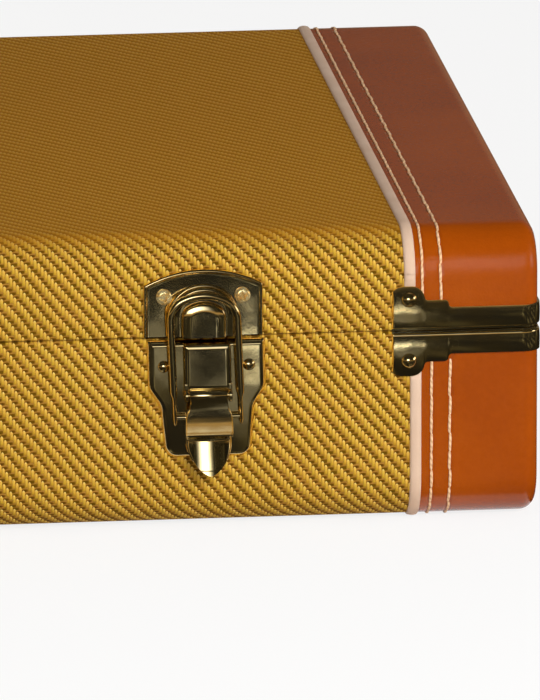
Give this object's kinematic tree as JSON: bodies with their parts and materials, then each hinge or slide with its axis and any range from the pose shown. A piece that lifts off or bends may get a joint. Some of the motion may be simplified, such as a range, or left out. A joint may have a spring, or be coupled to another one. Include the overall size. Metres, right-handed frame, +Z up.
{
  "type": "electric guitar case",
  "caption": "Rectangular hard case for an electric guitar: woven cover, leather ends, draw latches with wire bails, rear hinges, carrying handle and plush interior.",
  "frame": {"origin": "middle of the bounding box in X and Y, on the surface the case lies on", "axes": "+X along the case to its right end seen from the front, +Y from the latches and handle to the hinges, +Z up through the lid"},
  "size_m": [1.072, 0.3902, 0.1183],
  "materials": {
    "tweed": "woven twill covering",
    "leather": "smooth grained leather, slight gloss",
    "piping": "cream cord edging",
    "gold": "polished gold plate",
    "plywood": "birch plywood",
    "plush": "short pile plush",
    "binding": "turned-in covering"
  },
  "bodies": {
    "base": {"accessory_box": "plush", "base_back_board": "plywood", "base_bottom_board": "plywood", "base_bottom_cover": "tweed", "base_end_boards": "plywood", "base_end_strips": "gold", "base_front_board": "plywood", "base_leather_ends": "leather", "base_piping": "piping", "base_rim_binding": "binding", "base_rivets": "gold", "base_side_liner": "plush", "base_spine_glides": "gold", "base_tweed_cover": "tweed", "body_surround_pad": "plush", "closure_tongue": "plush", "floor_pad": "plush", "handle_mounts": "gold", "handle_pins": "gold", "hinge_base_leaves": "gold", "hinge_pins": "gold", "latch_1_base_plate": "gold", "latch_2_base_plate": "gold", "latch_3_base_plate": "gold", "latch_4_base_plate": "gold", "latch_pivot_pins": "gold", "neck_rest": "plush", "neck_side_pad": "plush"},
    "lid": {"lid_back_board": "plywood", "lid_end_boards": "plywood", "lid_end_strips": "gold", "lid_front_board": "plywood", "lid_leather_ends": "leather", "lid_pad": "plush", "lid_piping": "piping", "lid_rim_binding": "binding", "lid_rivets": "gold", "lid_side_liner": "plush", "lid_spine_glides": "gold", "lid_top_board": "plywood", "lid_tweed_cover": "tweed", "hinge_lid_leaves": "gold", "latch_catch_screws": "gold", "latch_1_catch_plate": "gold", "latch_2_catch_plate": "gold", "latch_3_catch_plate": "gold", "latch_4_catch_plate": "gold"},
    "handle": {"handle_grip": "leather", "handle_end_fittings": "gold"},
    "accessory_lid": {"accessory_lid": "plush", "accessory_pull_tab": "leather"},
    "lever_1": {"latch_1_lever": "gold"},
    "bail_1": {"latch_1_bail": "gold"},
    "lever_2": {"latch_2_lever": "gold"},
    "bail_2": {"latch_2_bail": "gold"},
    "lever_3": {"latch_3_lever": "gold"},
    "bail_3": {"latch_3_bail": "gold"},
    "lever_4": {"latch_4_lever": "gold"},
    "bail_4": {"latch_4_bail": "gold"}
  },
  "joints": [
    {"name": "lid_hinge", "type": "hinge", "parent": "base", "child": "lid", "pos_m": [0, 0.1896, 0.078], "axis": [-1, 0, 0], "range_deg": [0, 100]},
    {"name": "lever_1_pivot", "type": "hinge", "parent": "base", "child": "lever_1", "pos_m": [-0.402, -0.1799, 0.0555], "axis": [-1, 0, 0], "range_deg": [0, 115]},
    {"name": "bail_1_pivot", "type": "hinge", "parent": "lever_1", "child": "bail_1", "pos_m": [-0.402, -0.1793, 0.0467], "axis": [-1, 0, 0], "range_deg": [-180, 0]},
    {"name": "lever_2_pivot", "type": "hinge", "parent": "base", "child": "lever_2", "pos_m": [-0.165, -0.1799, 0.0555], "axis": [-1, 0, 0], "range_deg": [0, 115]},
    {"name": "bail_2_pivot", "type": "hinge", "parent": "lever_2", "child": "bail_2", "pos_m": [-0.165, -0.1793, 0.0467], "axis": [-1, 0, 0], "range_deg": [-180, 0]},
    {"name": "lever_3_pivot", "type": "hinge", "parent": "base", "child": "lever_3", "pos_m": [0.165, -0.1799, 0.0555], "axis": [-1, 0, 0], "range_deg": [0, 115]},
    {"name": "bail_3_pivot", "type": "hinge", "parent": "lever_3", "child": "bail_3", "pos_m": [0.165, -0.1793, 0.0467], "axis": [-1, 0, 0], "range_deg": [-180, 0]},
    {"name": "lever_4_pivot", "type": "hinge", "parent": "base", "child": "lever_4", "pos_m": [0.402, -0.1799, 0.0555], "axis": [-1, 0, 0], "range_deg": [0, 115]},
    {"name": "bail_4_pivot", "type": "hinge", "parent": "lever_4", "child": "bail_4", "pos_m": [0.402, -0.1793, 0.0467], "axis": [-1, 0, 0], "range_deg": [-180, 0]},
    {"name": "handle_pivot", "type": "hinge", "parent": "base", "child": "handle", "pos_m": [0, -0.1863, 0.052], "axis": [-1, 0, 0], "range_deg": [0, 100]},
    {"name": "accessory_lid_lift", "type": "slide", "parent": "base", "child": "accessory_lid", "axis": [0, 0, 1], "range_m": [0, 0.025]}
  ],
  "couplings": [
    {"joint": "bail_1_pivot", "follows": "lever_1_pivot", "ratio": -1.55},
    {"joint": "bail_2_pivot", "follows": "lever_2_pivot", "ratio": -1.55},
    {"joint": "bail_3_pivot", "follows": "lever_3_pivot", "ratio": -1.55},
    {"joint": "bail_4_pivot", "follows": "lever_4_pivot", "ratio": -1.55}
  ]
}
